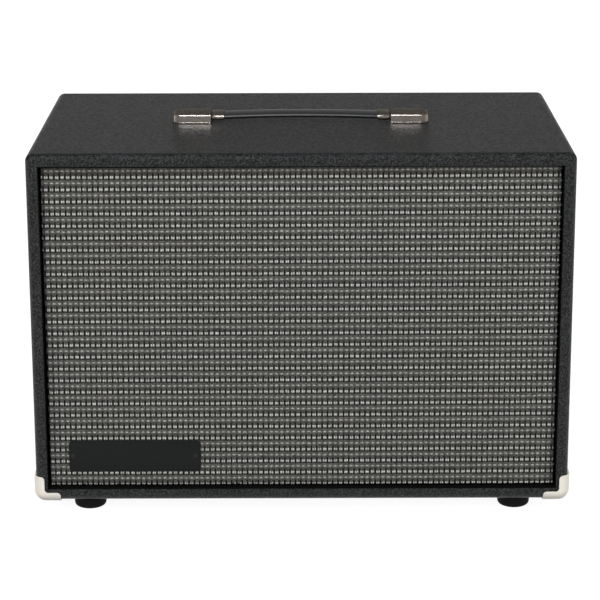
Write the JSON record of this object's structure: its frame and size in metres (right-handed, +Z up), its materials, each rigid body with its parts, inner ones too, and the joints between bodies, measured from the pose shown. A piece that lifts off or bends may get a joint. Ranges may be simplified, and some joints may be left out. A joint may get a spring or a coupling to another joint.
{
  "type": "bass speaker cabinet",
  "caption": "Closed-back bass speaker cabinet with one large driver behind a woven grille cloth, a strap handle on top, rubber feet and plastic corner protectors.",
  "frame": {"origin": "floor level under the middle of the cabinet: the bottom centre of the overall box", "axes": "+Z up, the grille faces -Y, +X to the right seen from the front"},
  "size_m": [0.5742, 0.3442, 0.4055],
  "materials": {
    "plywood": "raw birch plywood",
    "black_board": "plywood painted matt black",
    "vinyl": "dark grey vinyl covering with a fine leather grain",
    "grille_cloth": "woven grille cloth, silver and black",
    "black_plastic": "semi-matt black plastic",
    "ivory_plastic": "moulded ivory plastic",
    "rubber": "moulded black rubber",
    "strap_vinyl": "moulded black vinyl over a steel core",
    "surround_rubber": "thin moulded rubber",
    "chrome": "bright chrome plate",
    "zinc": "zinc-plated steel",
    "black_steel": "pressed steel, black paint",
    "steel": "turned mild steel",
    "ferrite": "sintered ferrite",
    "paper": "pressed paper pulp",
    "coil": "wire wound on an aluminium former",
    "spider_cloth": "resin-treated cotton",
    "lead_jacket": "soft PVC jacket"
  },
  "bodies": {
    "cabinet": {"top_board": "plywood", "bottom_board": "plywood", "left_board": "plywood", "right_board": "plywood", "front_batten_top": "plywood", "front_batten_bottom": "plywood", "front_batten_left": "plywood", "front_batten_right": "plywood", "rear_batten_top": "plywood", "rear_batten_bottom": "plywood", "rear_batten_left": "plywood", "rear_batten_right": "plywood", "vinyl_covering": "vinyl", "baffle_board": "black_board", "back_panel": "black_board", "grille_frame": "black_board", "grille_cloth": "grille_cloth", "name_plate": "black_plastic", "corner_front_left": "ivory_plastic", "corner_front_right": "ivory_plastic", "corner_rear_left": "ivory_plastic", "corner_rear_right": "ivory_plastic", "foot_front_left": "rubber", "foot_front_right": "rubber", "foot_rear_left": "rubber", "foot_rear_right": "rubber", "foot_screw_front_left": "zinc", "foot_screw_front_right": "zinc", "foot_screw_rear_left": "zinc", "foot_screw_rear_right": "zinc", "handle_cap_left": "chrome", "handle_cap_right": "chrome", "handle_bolt_left": "zinc", "handle_bolt_right": "zinc", "driver_basket": "black_steel", "driver_surround": "surround_rubber", "driver_spider": "spider_cloth", "top_plate": "steel", "magnet": "ferrite", "back_plate_and_pole": "steel", "terminal_strip": "black_plastic", "driver_bolt_1": "zinc", "driver_bolt_2": "zinc", "driver_bolt_3": "zinc", "driver_bolt_4": "zinc", "port_tube_left": "black_plastic", "port_tube_right": "black_plastic", "jack_dish": "black_plastic", "jack_socket_left": "zinc", "jack_socket_right": "zinc", "speaker_lead": "lead_jacket"},
    "grip": {"strap_grip": "strap_vinyl"},
    "left_strap_end": {"strap_fitting_left": "chrome", "strap_end_left": "strap_vinyl"},
    "right_strap_end": {"strap_fitting_right": "chrome", "strap_end_right": "strap_vinyl"},
    "cone": {"driver_cone": "paper", "dust_cap": "paper", "voice_coil": "coil"}
  },
  "joints": [
    {"name": "handle_lift", "type": "slide", "parent": "cabinet", "child": "grip", "axis": [0, 0, 1], "range_m": [0, 0.018], "stiffness_N_per_m": 150, "deforming": ["strap_end_left", "strap_end_right"]},
    {"name": "left_end_slide", "type": "slide", "parent": "grip", "child": "left_strap_end", "axis": [0.2425, 0, -0.9701], "range_m": [0, 0.0186]},
    {"name": "right_end_slide", "type": "slide", "parent": "grip", "child": "right_strap_end", "axis": [-0.2425, 0, -0.9701], "range_m": [0, 0.0186]},
    {"name": "cone_travel", "type": "slide", "parent": "cabinet", "child": "cone", "axis": [0, -1, 0], "range_m": [-0.005, 0.005], "stiffness_N_per_m": 3000, "deforming": ["driver_surround", "driver_spider"]}
  ],
  "couplings": [
    {"joint": "left_end_slide", "follows": "handle_lift", "ratio": 1.0308},
    {"joint": "right_end_slide", "follows": "handle_lift", "ratio": 1.0308}
  ]
}
